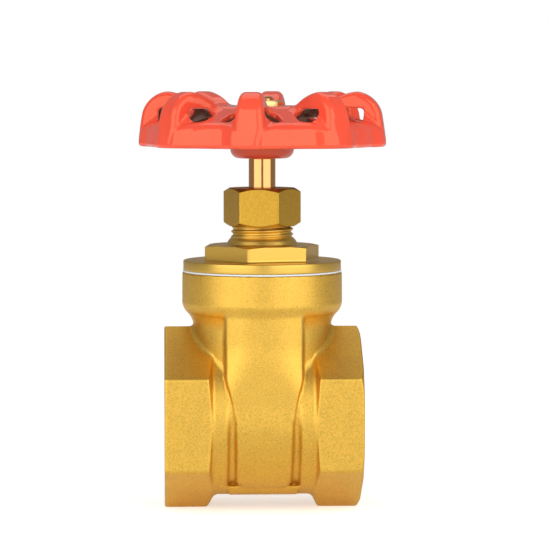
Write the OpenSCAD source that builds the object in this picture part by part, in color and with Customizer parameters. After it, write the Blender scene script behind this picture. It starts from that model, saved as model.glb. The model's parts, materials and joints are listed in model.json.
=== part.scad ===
// Brass gate valve with a non-rising stem, threaded socket ends and a lobed handwheel.
// +Z runs up the stem, +X is the flow direction, and z = 0 is the lowest corner of the hexagon ends.
// Heights with the suffix _h are measured from the flow axis.

/* [Connections] */
// Distance between the two end faces
face_to_face = 50; // [44:0.5:64]
// Major diameter of the pipe thread in each end
pipe_thread_d = 33.25; // [28:0.05:42]
// Depth of the threaded length of each end, from its face
pipe_thread_depth = 12.5; // [10:0.25:14]
// Lead-in chamfer at the mouth of each end
mouth_chamfer = 0.9; // [0.4:0.1:1.4]
// Wall between the pipe thread and a flat of the hexagon
socket_wall = 3.65; // [2.5:0.05:6]
// How far the hexagon corners are turned down
corner_trim = 0.14; // [0.05:0.01:0.8]
// Length of the corner chamfer at the outlet face
outlet_chamfer = 0.8; // [0.4:0.1:1.6]
// Length of the corner chamfer at the inlet face
inlet_chamfer = 0.4; // [0.2:0.1:1.4]
// How far inwards both corner chamfers reach
chamfer_reach = 1.7; // [1:0.1:2.5]

/* [Seats and wedge] */
// Diameter of the flow port
port_d = 21; // [16:0.5:26]
// Width of each seat ring around the port
seat_w = 1.5; // [1:0.1:2.5]
// Half of the wedge's thickness on the flow axis
wedge_half_t = 5.6; // [5.2:0.1:7]
// Taper of each wedge face
wedge_taper = 4; // [2:0.5:5]
// How far a guide lug stands out of the wedge
lug_w = 2.6; // [1.5:0.1:4]
// Thickness of a guide lug along the flow
lug_t = 4.6; // [3:0.1:6]
// Height of the round boss above the wedge disc
boss_h = 6.1; // [4:0.1:9]
// Wall of the boss around the stem screw
boss_wall = 2.3; // [1.5:0.1:4]
// Gap between the closed wedge and a seat
seat_gap = 0.1; // [0.05:0.01:0.3]
// Gap between a guide lug and the cavity wall
guide_gap = 0.4; // [0.2:0.05:0.8]

/* [Body walls] */
// Space between the wedge and the walls of the cavity
cavity_gap = 1.3; // [0.8:0.1:2]
// Wall of the barrel under the cavity
barrel_wall = 4.4; // [2.5:0.1:6]
// Length of the turned step between the barrel and a hexagon's corners
hex_step = 1.9; // [1:0.1:3]
// Half the length of the barrel between the hexagons
barrel_half = 12.3; // [9:0.1:15]
// Wall of the round neck
neck_wall = 1.9; // [1.5:0.1:4]
// Wall between the bonnet thread and the rim of the body flange
flange_wall = 3.1; // [2:0.1:6]
// Height of the body flange
flange_t = 9.3; // [6:0.1:14]
// Height of the cone between the neck and the flange
flare_h = 3.1; // [1.5:0.1:5]
// Half width of the raised guide band at its top
band_top = 9.5; // [7:0.1:11]
// Half width of the raised guide band at its foot
band_foot = 6.6; // [5:0.1:8]
// How far the guide band stands out of the barrel
band_proud = 0.6; // [0.3:0.1:1.5]
// Depth of the channel on each side of the guide band
channel_d = 1.8; // [0.8:0.1:2.5]
// Width of the channel on each side of the guide band
channel_w = 2.4; // [1.5:0.1:3]
// Wall of the barrel over the inner end of a socket
socket_cover = 3.1; // [2:0.1:5]

/* [Bonnet] */
// Wall of the bonnet's threaded spigot
spigot_wall = 1.95; // [1.2:0.05:4]
// Length of the spigot inside the body
spigot_l = 6.4; // [4:0.1:9]
// Thickness of the gasket
gasket_t = 0.42; // [0.3:0.02:1]
// Thickness of the bonnet's round disc
disc_t = 2.5; // [1.5:0.1:5]
// How far the disc stays inside the flange rim
disc_inset = 0.3; // [0:0.05:1]
// Height of the bonnet's hexagon
bonnet_hex_t = 3.5; // [2.5:0.1:8]
// Distance across the flats of the bonnet's hexagon
bonnet_hex_af = 26.4; // [24:0.1:34]
// Cover of the hexagon above the space for the boss
roof_cover = 2.5; // [1.5:0.1:5]
// Height of the shoulder between that space and the stem collar
shoulder_t = 4.4; // [3:0.1:8]
// Space above the boss when the valve is open
head_gap = 0.6; // [0.3:0.1:1.5]

/* [Stem and packing] */
// Diameter of the polished stem
stem_d = 6.8; // [5:0.1:8.5]
// Diameter of the screw that lifts the wedge
screw_d = 8; // [7:0.1:9]
// Length of screw that stays in the boss when closed
screw_grip = 5.9; // [4:0.1:8]
// Radial width of the packing
packing_w = 2.15; // [1.2:0.05:3]
// Thickness of one packing ring
packing_t = 1.65; // [0.8:0.05:3]
// Thickness of a thrust washer
thrust_t = 0.6; // [0.4:0.1:1.5]
// Thickness of the stem's collar
collar_t = 1.8; // [1.2:0.1:3]
// Wall of the bonnet neck around the packing
gland_wall = 1.9; // [1.2:0.1:4]
// Exposed length of the gland follower's sleeve
gland_show = 2.2; // [1:0.05:4]
// Thickness of the gland follower's flange
gland_flange_t = 0.95; // [0.6:0.05:2]
// Clearance under the gland follower's flange
gland_space = 0.7; // [0.3:0.1:1.5]
// Clearance of parts that turn on each other
run_gap = 0.05; // [0.02:0.01:0.1]

/* [Packing nut] */
// Wall between the nut's thread and a flat
nut_wall = 1; // [0.8:0.1:3]
// Thickness of the nut's roof
nut_roof = 1.7; // [1:0.1:4]
// Height of the nut
nut_h = 9.7; // [7:0.1:14]

/* [Handwheel] */
// Diameter over the lobes
wheel_d = 63; // [56:0.5:80]
// Number of lobes
lobes = 8; // [5:1:8]
// Width of a lobe
lobe_w = 7; // [4:0.2:9]
// Height of the lobes above the lower edge of the rim
lobe_h = 14; // [10:0.1:18]
// Height of the rim between lobes
rim_h = 6.4; // [4:0.1:9]
// Thickness of the rim and of the lobe shells
shell_t = 2.6; // [1.5:0.1:4]
// How far the rim between lobes lies inside the lobes
rim_inset = 1.9; // [0.5:0.1:4]
// Radius of the round plate around the nut
plate_r = 15; // [12:0.5:19]
// Width of a spoke
spoke_w = 4; // [2.5:0.1:6]
// Radius of the hub boss
hub_r = 8.05; // [7:0.05:11]
// Length of the hub boss below the rim
hub_drop = 3; // [1:0.1:6]
// Length of the hub between the stem shoulder and the washers
hub_grip = 7.3; // [5:0.1:11]
// Bare stem between the packing nut and the hub
stem_show = 7.5; // [3:0.1:20]
// Wall of the pocket that holds the washers and the nut
pocket_wall = 2.2; // [1.5:0.1:4]

/* [Wheel fastening] */
// Step from the stem down to each flat of its square
square_step = 0.35; // [0.2:0.05:1]
// Step from the flats of the square down to the end screw
end_step = 0.05; // [0.05:0.05:0.5]
// Thickness of the plain washer
washer_t = 1; // [0.6:0.1:2]
// Thickness of the spring washer
spring_t = 1.5; // [1:0.1:2.5]
// Gap between the ends of the spring washer
spring_split = 1; // [0.5:0.1:2]
// Height of the wheel nut
wheel_nut_h = 4.9; // [3:0.1:7]
// Wall between the end screw and a flat of the wheel nut
wheel_nut_wall = 2; // [1.5:0.1:3]
// End of the stem above the nut
end_show = 1; // [0.5:0.1:4]

/* [Angles] */
// Turn of the bonnet's hexagon
bonnet_hex_turn = 15; // [0:1:60]
// Turn of the packing nut
packing_nut_turn = -7.3; // [-30:0.1:30]
// Turn of the handwheel
wheel_turn = -98; // [-180:1:180]
// Turn of the wheel nut
wheel_nut_turn = 10.5; // [-30:0.5:30]

/* [Hidden] */
$fn = 96;

over = 1;          // how far a cutter runs past the face that it cuts
fit = 0.1;         // radial gap of a modelled screw fit
corner_slope = 30; // slope of the turned corners of a nut

// Ends and port
half_l = face_to_face / 2;
pipe_r = pipe_thread_d / 2;
hex_af = pipe_thread_d + 2 * socket_wall;
corner_r = hex_af / sqrt(3) - corner_trim;
axis_z = corner_r;
port_r = port_d / 2;
barrel_end = min(barrel_half, half_l - pipe_thread_depth - 0.2);

// Wedge and cavity
wedge_r = port_r + seat_w;
travel = wedge_r + port_r;
lug_r = wedge_r + lug_w;
lug_high_h = 0.75 * wedge_r;
boss_top_h = wedge_r + boss_h;
screw_r = screw_d / 2;
boss_r = screw_r + fit + boss_wall;
screw_end_h = boss_top_h - screw_grip;
wedge_bore_end_h = screw_end_h - travel - 0.3;
cavity_y = lug_r + guide_gap;
lug_low_h = -sqrt(cavity_y * cavity_y - lug_r * lug_r);
cavity_r = cavity_y + 0.4;
cavity_x = wedge_half_t + cavity_gap;
barrel_r = max(cavity_r + barrel_wall, pipe_r + socket_cover);

// Body neck and flange
spigot_bore_r = lug_r + 0.65;
spigot_r = spigot_bore_r + spigot_wall;
neck_bore_r = spigot_bore_r + 0.35;
neck_r = neck_bore_r + neck_wall;
flange_r = spigot_r + fit + flange_wall;
channel_out = min(band_foot + channel_w, barrel_end - 0.8);

// Stack of the bonnet, from the space for the raised boss
boss_space_h = boss_top_h + travel + head_gap;
bonnet_hex_top_h = boss_space_h + roof_cover;
disc_top_h = bonnet_hex_top_h - bonnet_hex_t;
gasket_top_h = disc_top_h - disc_t;
flange_top_h = gasket_top_h - gasket_t;
flange_low_h = flange_top_h - flange_t;
flare_low_h = flange_low_h - flare_h;
neck_floor_bore_h = pipe_r + 2;
disc_r = flange_r - disc_inset;
boss_space_r = boss_r + 1.2;

// Stack of the packing, from the floor of the bonnet neck
stem_r = stem_d / 2;
packing_in_r = stem_r + run_gap;
packing_bore_r = packing_in_r + packing_w;
collar_r = packing_bore_r - 0.25;
gland_floor_h = boss_space_h + shoulder_t;
collar_low_h = gland_floor_h + thrust_t + run_gap;
collar_top_h = collar_low_h + collar_t;
upper_thrust_h = collar_top_h + run_gap;
packing_low_h = upper_thrust_h + thrust_t;
packing_pitch = packing_t + 0.02;
gland_low_h = packing_low_h + 3 * packing_pitch;
gland_flange_h = gland_low_h + gland_show;
gland_top_h = gland_flange_h + gland_flange_t;
neck_top_h = gland_flange_h - gland_space;
gland_thread_r = packing_bore_r + gland_wall;
gland_flange_r = gland_thread_r - 0.7;

// Packing nut
nut_thread_r = gland_thread_r + fit;
nut_af = 2 * (nut_thread_r + nut_wall);
nut_top_h = gland_top_h + 0.02 + nut_roof;
nut_low_h = nut_top_h - nut_h;

// Stem end and wheel
wheel_seat_h = nut_top_h + stem_show;
rim_low_h = wheel_seat_h + hub_drop;
washer_low_h = wheel_seat_h + hub_grip;
spring_low_h = washer_low_h + washer_t;
wheel_nut_low_h = spring_low_h + spring_t;
wheel_nut_top_h = wheel_nut_low_h + wheel_nut_h;
stem_top_h = wheel_nut_top_h + end_show;
square_af = stem_d - 2 * square_step;
end_r = square_af / 2 - end_step;
wheel_nut_af = 2 * (end_r + run_gap + wheel_nut_wall);
washer_r = wheel_nut_af / 2 + 1;
pocket_r = max(washer_r, wheel_nut_af / sqrt(3)) + 0.6;
wheel_r = wheel_d / 2;
lobe_top_h = rim_low_h + lobe_h;
plate_h = rim_low_h + rim_h + 3.8;
lobe_step = 360 / lobes;

// A hexagonal prism along Z, from z = 0, with its first corner on +X
module hexagon(af, h) {
    cylinder(d = 2 * af / sqrt(3), h = h, $fn = 6);
}

// A nut blank along Z, from low_h to high_h, with its corners turned down at both ends
module nut_blank(af, low_h, high_h, turn) {
    face_r = af / 2 - 0.15;
    reach = af / sqrt(3) + over;
    drop = (reach - face_r) * tan(corner_slope);
    intersection() {
        translate([0, 0, low_h]) rotate([0, 0, turn]) hexagon(af, high_h - low_h);
        rotate_extrude() polygon([
            [0, low_h], [face_r, low_h], [reach, low_h + drop],
            [reach, high_h - drop], [face_r, high_h], [0, high_h]]);
    }
}

// The solid of a hexagonal end: a prism along X turned down to the round outline
module hexagon_end(chamfer) {
    intersection() {
        translate([0, 0, barrel_end - 0.5]) hexagon(hex_af, half_l - barrel_end + 0.5);
        rotate_extrude() polygon([
            [0, barrel_end - 1], [barrel_r - 1.6, barrel_end - 1], [barrel_r, barrel_end],
            [corner_r, barrel_end + hex_step], [corner_r, half_l - chamfer],
            [corner_r - chamfer_reach, half_l], [0, half_l]]);
    }
}

// Everything solid that the cavity, ports and threads are cut from
module body_outside() {
    difference() {
        rotate([0, 90, 0]) cylinder(r = barrel_r, h = 2 * barrel_end + 0.2, center = true);
        for (side = [-1, 1]) channel(side);
    }
    rotate([0, 90, 0]) hexagon_end(outlet_chamfer);
    rotate([0, -90, 0]) hexagon_end(inlet_chamfer);
    rotate_extrude() polygon([
        [0, 0], [neck_r, 0], [neck_r, flare_low_h], [flange_r - 0.4, flange_low_h - 0.3],
        [flange_r, flange_low_h + 0.6], [flange_r - 0.1, flange_top_h], [0, flange_top_h]]);
    guide_band();
}

// The sunk channel beside the guide band, on the lower half of the barrel
module channel(side) {
    x_mid = side * (band_foot + channel_out) / 2;
    intersection() {
        translate([x_mid, 0, 0]) rotate([0, 90, 0]) difference() {
            cylinder(r = barrel_r + over, h = channel_out - band_foot, center = true);
            cylinder(r = barrel_r - channel_d, h = channel_out, center = true);
        }
        translate([-half_l, -half_l, -0.85 * barrel_r]) cube([face_to_face, face_to_face, 0.95 * barrel_r]);
    }
}

// Raised bands on the front and the back, over the wedge's guides
module guide_band() {
    band_y = barrel_r + 0.2;
    foot_h = -0.85 * barrel_r;
    intersection() {
        rotate([90, 0, 0]) linear_extrude(2 * flange_r, center = true) polygon([
            [-band_top, flange_low_h], [-band_top, 0.6 * barrel_r], [-band_foot, foot_h],
            [band_foot, foot_h], [band_top, 0.6 * barrel_r], [band_top, flange_low_h]]);
        union() {
            translate([-band_top - 1, -band_y, -4]) cube([2 * band_top + 2, 2 * band_y, flange_low_h + 4]);
            intersection() {
                rotate([0, 90, 0]) cylinder(r = barrel_r + band_proud, h = 2 * band_top + 2, center = true);
                translate([-band_top - 2, -half_l - 5, -half_l])
                    cube([2 * band_top + 4, face_to_face + 10, half_l - 3.5]);
            }
        }
    }
}

// Cavity for the wedge, with the seat rings left standing in it
module body_cavity() {
    difference() {
        union() {
            rotate([0, 90, 0]) cylinder(r = cavity_r, h = 2 * cavity_x, center = true);
            translate([-cavity_x, -cavity_y, 0]) cube([2 * cavity_x, 2 * cavity_y, neck_floor_bore_h + 1]);
        }
        for (turn = [0, 180]) rotate([0, 0, turn]) seat_ring();
    }
    translate([0, 0, neck_floor_bore_h]) cylinder(r = neck_bore_r, h = flange_top_h - neck_floor_bore_h + over);
    translate([0, 0, flange_top_h - spigot_l - 0.6]) cylinder(r = spigot_r + fit, h = spigot_l + 0.6 + over);
}

// One seat ring: a short cylinder along X, cut off along the wedge face
module seat_ring() {
    intersection() {
        translate([wedge_half_t - 3, 0, 0]) rotate([0, 90, 0]) cylinder(r = wedge_r - 0.2, h = cavity_gap + 4);
        translate([wedge_half_t + seat_gap, 0, 0]) rotate([0, wedge_taper, 0])
            translate([0, -wedge_r, -2 * wedge_r]) cube([2 * wedge_r, 2 * wedge_r, 4 * wedge_r]);
    }
}

// One threaded socket, open to +X
module socket() {
    translate([half_l - pipe_thread_depth, 0, 0]) rotate([0, 90, 0])
        cylinder(r = pipe_r, h = pipe_thread_depth + over);
    translate([half_l - mouth_chamfer, 0, 0]) rotate([0, 90, 0]) rotate_extrude() polygon([
        [0, 0], [pipe_r, 0], [pipe_r + mouth_chamfer + 0.01, mouth_chamfer + 0.01], [0, mouth_chamfer + 0.01]]);
}

module valve_body() {
    color("#e8b04a") translate([0, 0, axis_z]) difference() {
        body_outside();
        body_cavity();
        rotate([0, 90, 0]) cylinder(r = port_r, h = face_to_face, center = true);
        socket();
        rotate([0, 0, 180]) socket();
    }
}

module bonnet_gasket() {
    color("#d8d4c8") translate([0, 0, axis_z + flange_top_h]) difference() {
        cylinder(r = disc_r + 0.15, h = gasket_t);
        translate([0, 0, -over]) cylinder(r = spigot_r + 0.15, h = gasket_t + 2 * over);
    }
}

module bonnet() {
    color("#dcb455") translate([0, 0, axis_z]) difference() {
        union() {
            rotate_extrude() polygon([
                [0, flange_top_h - spigot_l], [spigot_r - 0.5, flange_top_h - spigot_l],
                [spigot_r, flange_top_h - spigot_l + 0.5], [spigot_r, gasket_top_h],
                [disc_r, gasket_top_h], [disc_r, disc_top_h - 0.3], [disc_r - 0.3, disc_top_h],
                [0, disc_top_h]]);
            intersection() {
                translate([0, 0, disc_top_h - 1]) rotate([0, 0, bonnet_hex_turn])
                    hexagon(bonnet_hex_af, bonnet_hex_t + 1);
                rotate_extrude() polygon([
                    [0, disc_top_h - 2], [bonnet_hex_af, disc_top_h - 2], [bonnet_hex_af, bonnet_hex_top_h - 8],
                    [bonnet_hex_af / 2 - 0.4, bonnet_hex_top_h], [0, bonnet_hex_top_h]]);
            }
            rotate_extrude() polygon([
                [0, bonnet_hex_top_h - 1], [gland_thread_r + 2.6, bonnet_hex_top_h - 1],
                [gland_thread_r + 1.2, bonnet_hex_top_h + 2], [gland_thread_r + 0.3, bonnet_hex_top_h + 3.2],
                [gland_thread_r + 0.3, nut_low_h - 0.3], [gland_thread_r, nut_low_h],
                [gland_thread_r, neck_top_h - 0.4], [gland_thread_r - 0.4, neck_top_h], [0, neck_top_h]]);
        }
        rotate_extrude() polygon([
            [0, flange_top_h - spigot_l - over], [spigot_bore_r, flange_top_h - spigot_l - over],
            [spigot_bore_r, gasket_top_h + 0.2], [boss_space_r, boss_space_h - 2.4],
            [boss_space_r, boss_space_h], [screw_r + 0.15, boss_space_h],
            [screw_r + 0.15, gland_floor_h], [packing_bore_r, gland_floor_h],
            [packing_bore_r, neck_top_h + over], [0, neck_top_h + over]]);
    }
}

// A flat ring that the stem turns in
module stem_ring(low_h, t, in_r, out_r) {
    translate([0, 0, axis_z + low_h]) difference() {
        cylinder(r = out_r, h = t);
        translate([0, 0, -over]) cylinder(r = in_r, h = t + 2 * over);
    }
}

module lower_thrust_washer() {
    color("#f2f0e8") stem_ring(gland_floor_h, thrust_t, screw_r + 0.15, packing_bore_r - 0.1);
}

module upper_thrust_washer() {
    color("#f2f0e8") stem_ring(upper_thrust_h, thrust_t, packing_in_r, packing_bore_r - 0.1);
}

module packing_ring(place) {
    low_h = packing_low_h + 0.02 + place * packing_pitch;
    color("#f4f4f0") stem_ring(low_h, packing_t, packing_in_r, packing_bore_r - 0.02);
}

module packing_ring_lower() { packing_ring(0); }

module packing_ring_middle() { packing_ring(1); }

module packing_ring_upper() { packing_ring(2); }

module gland_follower() {
    color("#c99a3c") translate([0, 0, axis_z]) rotate_extrude() polygon([
        [stem_r + 0.1, gland_low_h + 0.02], [packing_bore_r - 0.1, gland_low_h + 0.02],
        [packing_bore_r - 0.1, gland_flange_h], [gland_flange_r, gland_flange_h],
        [gland_flange_r, gland_top_h], [stem_r + 0.1, gland_top_h]]);
}

module packing_nut() {
    color("#d8a848") translate([0, 0, axis_z]) difference() {
        nut_blank(nut_af, nut_low_h, nut_top_h, packing_nut_turn);
        translate([0, 0, nut_low_h - over]) cylinder(r = nut_thread_r, h = nut_h - nut_roof + over);
        translate([0, 0, nut_top_h - nut_roof - over]) cylinder(r = stem_r + 0.2, h = nut_roof + 2 * over);
    }
}

// The wedge: a disc with tapered faces, two guide lugs and a threaded boss
module gate_wedge() {
    color("#cf9d3e") translate([0, 0, axis_z]) difference() {
        union() {
            intersection() {
                union() {
                    rotate([0, 90, 0]) cylinder(r = wedge_r, h = 4 * wedge_half_t, center = true);
                    cylinder(r = boss_r, h = boss_top_h);
                }
                wedge_faces();
            }
            translate([-lug_t / 2, -lug_r, lug_low_h]) cube([lug_t, 2 * lug_r, lug_high_h - lug_low_h]);
        }
        translate([0, 0, wedge_bore_end_h]) cylinder(r = screw_r + fit, h = boss_top_h - wedge_bore_end_h + over);
    }
}

// The space between the wedge's two tapered faces
module wedge_faces() {
    low_h = -wedge_r - over;
    high_h = boss_top_h + over;
    low = wedge_half_t + low_h * tan(wedge_taper);
    high = wedge_half_t + high_h * tan(wedge_taper);
    rotate([90, 0, 0]) linear_extrude(2 * wedge_r + 2, center = true) polygon([
        [-low, low_h], [low, low_h], [high, high_h], [-high, high_h]]);
}

module stem() {
    color("#e0b860") translate([0, 0, axis_z]) union() {
        rotate_extrude() polygon([
            [0, screw_end_h], [screw_r - 0.6, screw_end_h], [screw_r, screw_end_h + 0.6],
            [screw_r, collar_low_h], [collar_r, collar_low_h], [collar_r, collar_top_h],
            [stem_r, collar_top_h], [stem_r, wheel_seat_h], [0, wheel_seat_h]]);
        intersection() {
            translate([-square_af / 2, -square_af / 2, wheel_seat_h - 1])
                cube([square_af, square_af, washer_low_h - 0.4 - wheel_seat_h + 1]);
            translate([0, 0, wheel_seat_h - 2]) cylinder(r = stem_r, h = hub_grip + 2);
        }
        rotate_extrude() polygon([
            [0, washer_low_h - 2], [end_r, washer_low_h - 2], [end_r, stem_top_h - 0.5],
            [end_r - 0.5, stem_top_h], [0, stem_top_h]]);
    }
}

// Bars of one width, one along each lobe or each spoke
module star(width, inner, outer, turn) {
    for (i = [0 : lobes - 1]) rotate([0, 0, turn + i * lobe_step])
        translate([inner, -width / 2, 0]) cube([outer - inner, width, 2 * lobe_h + 20]);
}

// Section of a lobe: it rises from the rim's lower edge, and bridges the window down to the plate
module lobe_section() {
    top = lobe_top_h;
    polygon([
        [plate_r - 1.5, plate_h - shell_t], [plate_r + 0.6, plate_h - shell_t],
        [plate_r + 2, plate_h + 0.2], [wheel_r - 8.5, plate_h + 0.2],
        [wheel_r - 7.4, rim_low_h + rim_h + 0.6], [wheel_r - shell_t - 1.4, rim_low_h + rim_h - 1.6],
        [wheel_r - shell_t - 0.2, rim_low_h], [wheel_r - 0.4, rim_low_h], [wheel_r, rim_low_h + 1.3],
        [wheel_r - 0.7, rim_low_h + 0.48 * lobe_h], [wheel_r - 1.9, rim_low_h + 0.74 * lobe_h],
        [wheel_r - 3.2, top - 1.9], [wheel_r - 5.5, top - 0.3], [wheel_r - 6.8, top],
        [plate_r + 4.2, top], [plate_r - 0.2, plate_h], [plate_r - 1.5, plate_h]]);
}

module handwheel() {
    rim_out = wheel_r - rim_inset;
    color("#f2503f") translate([0, 0, axis_z]) rotate([0, 0, wheel_turn]) difference() {
        union() {
            rotate_extrude() polygon([
                [rim_out - shell_t, rim_low_h], [rim_out - 0.2, rim_low_h], [rim_out, rim_low_h + 1],
                [rim_out - 1.1, rim_low_h + rim_h - 1], [rim_out - 2.4, rim_low_h + rim_h],
                [rim_out - 5.4, rim_low_h + rim_h + 0.9], [rim_out - 5.4, rim_low_h + rim_h - 1.6],
                [rim_out - shell_t - 0.9, rim_low_h + rim_h - 2.2]]);
            intersection() {
                rotate_extrude() polygon([
                    [plate_r - 2, plate_h - 2.6], [plate_r - 2, plate_h], [plate_r, plate_h],
                    [rim_out - 5, rim_low_h + rim_h + 0.8], [rim_out - 5, rim_low_h + rim_h - 1.5]]);
                translate([0, 0, rim_low_h]) star(spoke_w, plate_r - 3, rim_out - 4, lobe_step / 2);
            }
            intersection() {
                rotate_extrude() lobe_section();
                translate([0, 0, rim_low_h - 1]) star(lobe_w, plate_r - 1.4, wheel_r + 1, 0);
            }
            rotate_extrude() polygon([
                [0, wheel_seat_h], [hub_r - 1.2, wheel_seat_h], [hub_r, wheel_seat_h + 1.2],
                [hub_r, washer_low_h - 2], [pocket_r + pocket_wall, washer_low_h - 1],
                [pocket_r + pocket_wall, plate_h - 2.8], [plate_r, plate_h - 2.6], [plate_r, plate_h],
                [0, plate_h]]);
        }
        translate([0, 0, washer_low_h]) cylinder(r = pocket_r, h = lobe_h);
        rotate([0, 0, -wheel_turn]) translate([-square_af / 2 - fit / 2, -square_af / 2 - fit / 2, wheel_seat_h - over])
            cube([square_af + fit, square_af + fit, hub_grip + 2 * over]);
    }
}

module plain_washer() {
    color("#c8c8c4") stem_ring(washer_low_h, washer_t, end_r + 0.2, washer_r);
}

// A split ring with one narrow gap
module spring_washer() {
    color("#b8b8b4") difference() {
        stem_ring(spring_low_h + 0.01, spring_t - 0.02, end_r + 0.1, washer_r - 0.9);
        translate([0, -spring_split / 2, axis_z + spring_low_h - over])
            cube([washer_r + over, spring_split, spring_t + 2 * over]);
    }
}

module wheel_nut() {
    color("#d9c070") translate([0, 0, axis_z]) difference() {
        nut_blank(wheel_nut_af, wheel_nut_low_h, wheel_nut_top_h, wheel_nut_turn);
        translate([0, 0, wheel_nut_low_h - over]) cylinder(r = end_r + run_gap, h = wheel_nut_h + 2 * over);
    }
}

valve_body();
bonnet_gasket();
bonnet();
lower_thrust_washer();
upper_thrust_washer();
packing_ring_lower();
packing_ring_middle();
packing_ring_upper();
gland_follower();
packing_nut();
gate_wedge();
stem();
handwheel();
plain_washer();
spring_washer();
wheel_nut();
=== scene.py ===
"""Gate valve: the visual model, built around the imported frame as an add-on that is run as a script."""
import json
import math

import bpy
import numpy as np
from bpy.props import FloatProperty, FloatVectorProperty, IntProperty, PointerProperty
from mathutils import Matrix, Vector


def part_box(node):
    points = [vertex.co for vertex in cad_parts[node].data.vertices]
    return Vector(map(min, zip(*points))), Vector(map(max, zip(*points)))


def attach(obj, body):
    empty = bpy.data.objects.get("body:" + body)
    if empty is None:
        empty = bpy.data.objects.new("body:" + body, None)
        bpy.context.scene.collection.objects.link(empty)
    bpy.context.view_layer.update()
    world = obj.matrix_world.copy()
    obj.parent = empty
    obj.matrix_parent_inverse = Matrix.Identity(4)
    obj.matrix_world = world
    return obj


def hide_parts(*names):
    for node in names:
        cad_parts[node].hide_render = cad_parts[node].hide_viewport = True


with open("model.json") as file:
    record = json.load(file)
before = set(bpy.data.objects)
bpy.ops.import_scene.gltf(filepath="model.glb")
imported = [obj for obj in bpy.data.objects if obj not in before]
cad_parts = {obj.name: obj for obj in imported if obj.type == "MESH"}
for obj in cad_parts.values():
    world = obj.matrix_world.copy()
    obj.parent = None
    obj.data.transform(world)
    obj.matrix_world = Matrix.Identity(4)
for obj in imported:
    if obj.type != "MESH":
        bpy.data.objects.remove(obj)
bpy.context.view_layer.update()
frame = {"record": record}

bl_info = {
    "name": "Gate valve",
    "version": (1, 0, 0),
    "blender": (4, 5, 0),
    "location": "View3D > Sidebar > Valve",
    "description": "Builds a threaded brass gate valve with a lobed handwheel",
    "category": "Add Mesh",
}

# ---------------------------------------------------------------------------------------------
# Places taken from the frame, in millimetres. Heights are measured from the flow axis.
# ---------------------------------------------------------------------------------------------

MM = 0.001
MOUNT = {mount["name"]: mount for mount in frame["record"]["mounts"]}
AXIS = MOUNT["inlet_thread"]["pos_m"][2] / MM
PIPE_R = MOUNT["inlet_thread"]["dims"]["r_mm"]


def low(node, axis=2):
    """Lowest coordinate of a CAD node, in millimetres; a height is counted from the flow axis."""
    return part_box(node)[0][axis] / MM - (AXIS if axis == 2 else 0)


def high(node, axis=2):
    """Highest coordinate of a CAD node, in millimetres; a height is counted from the flow axis."""
    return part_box(node)[1][axis] / MM - (AXIS if axis == 2 else 0)


HALF_L = high("valve_body", 0)
FLANGE_TOP = high("valve_body")
WHEEL_R = high("handwheel", 0)
WHEEL_LOW = low("handwheel")
WHEEL_TOP = high("handwheel")
NUT_LOW, NUT_TOP = low("packing_nut"), high("packing_nut")
SEAT_H = low("plain_washer")
# How deep a socket goes, and how far its mouth is chamfered
SOCKET_L, MOUTH = 12.5, 0.9


def srgb(code):
    """An sRGB hex colour as linear red, green and blue."""
    parts = [int(code[i:i + 2], 16) / 255 for i in (1, 3, 5)]
    return tuple(p / 12.92 if p <= 0.04045 else ((p + 0.055) / 1.055) ** 2.4 for p in parts)


# ---------------------------------------------------------------------------------------------
# Sizes and colours that a user would change
# ---------------------------------------------------------------------------------------------

def length(name, text, value):
    """A length property. The value is given in millimetres and kept in metres."""
    return FloatProperty(
        name=name, description=text, default=value * MM, min=0, precision=5, unit="LENGTH")


def colour(name, text, code):
    """A colour property with its default given as an sRGB hex value."""
    return FloatVectorProperty(
        name=name, description=text, default=srgb(code), size=3, min=0, max=1, subtype="COLOR")


class ValveSizes(bpy.types.PropertyGroup):
    """Sizes of the pieces, apart from those that the frame fixes."""
    hexagon_af: length("End hexagon", "Across the flats of the hexagonal ends", 40.55)
    barrel_r: length("Barrel radius", "Radius of the round barrel", 19.8)
    barrel_half: length("Barrel half length", "Half the length of the barrel between the hexagons", 12.4)
    neck_r: length("Neck radius", "Radius of the round neck", 17.45)
    flange_r: length("Flange radius", "Radius of the body flange", 20.4)
    edge_r: length("Casting edge", "Radius on the outside edges of the castings", 0.45)
    fillet_r: length("Casting fillet", "Radius in the inside corners of the castings", 1.1)
    port_r: length("Port radius", "Radius of the flow port", 10.5)
    stem_r: length("Stem radius", "Radius of the polished stem", 3.4)
    thread_pitch: length("Pipe thread pitch", "Pitch of the pipe thread", 2.309)
    thread_depth: length("Pipe thread depth", "Depth of the pipe thread", 1.479)
    cell: length("Casting cell", "Spacing of the grid that the castings are skinned on", 0.5)
    lobes: IntProperty(name="Lobes", description="Number of lobes on the handwheel", default=8, min=3, max=12)


class ValveColours(bpy.types.PropertyGroup):
    """Base colours of the finishes."""
    forged: colour("Forged brass", "Shot-blasted brass casting", "#E2B54F")
    turned: colour("Turned brass", "Freshly turned brass", "#DDB456")
    nut: colour("Drawn brass", "Drawn hexagon bar of the packing nut", "#CFA13C")
    polished: colour("Polished brass", "Polished stem", "#E3A265")
    enamel: colour("Enamel", "Orange-red stove enamel", "#F3523B")
    # Painted shade: a dark colour laid on the handwheel's hollow underside and window walls, where shade falls
    inside: colour("Painted shade underside", "Dark colour painted as shade in the handwheel's hollow", "#54241A")
    gasket: colour("Gasket", "Pale sealing sheet", "#DCE2E6")
    packing: colour("Packing", "Moulded fluoropolymer", "#F0EFEA")
    zinc: colour("Zinc plate", "Bright zinc on steel", "#C9CBC8")
    passivated: colour("Yellow zinc", "Yellow passivated zinc on steel", "#E5CE8A")
    floor: colour("Floor", "Pale studio floor", "#F8F8F8")


# ---------------------------------------------------------------------------------------------
# Materials
# ---------------------------------------------------------------------------------------------

# Places of the two colour inputs and of the colour output on the Mix node
MIX_A, MIX_B, MIX_RESULT = 6, 7, 2


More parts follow.
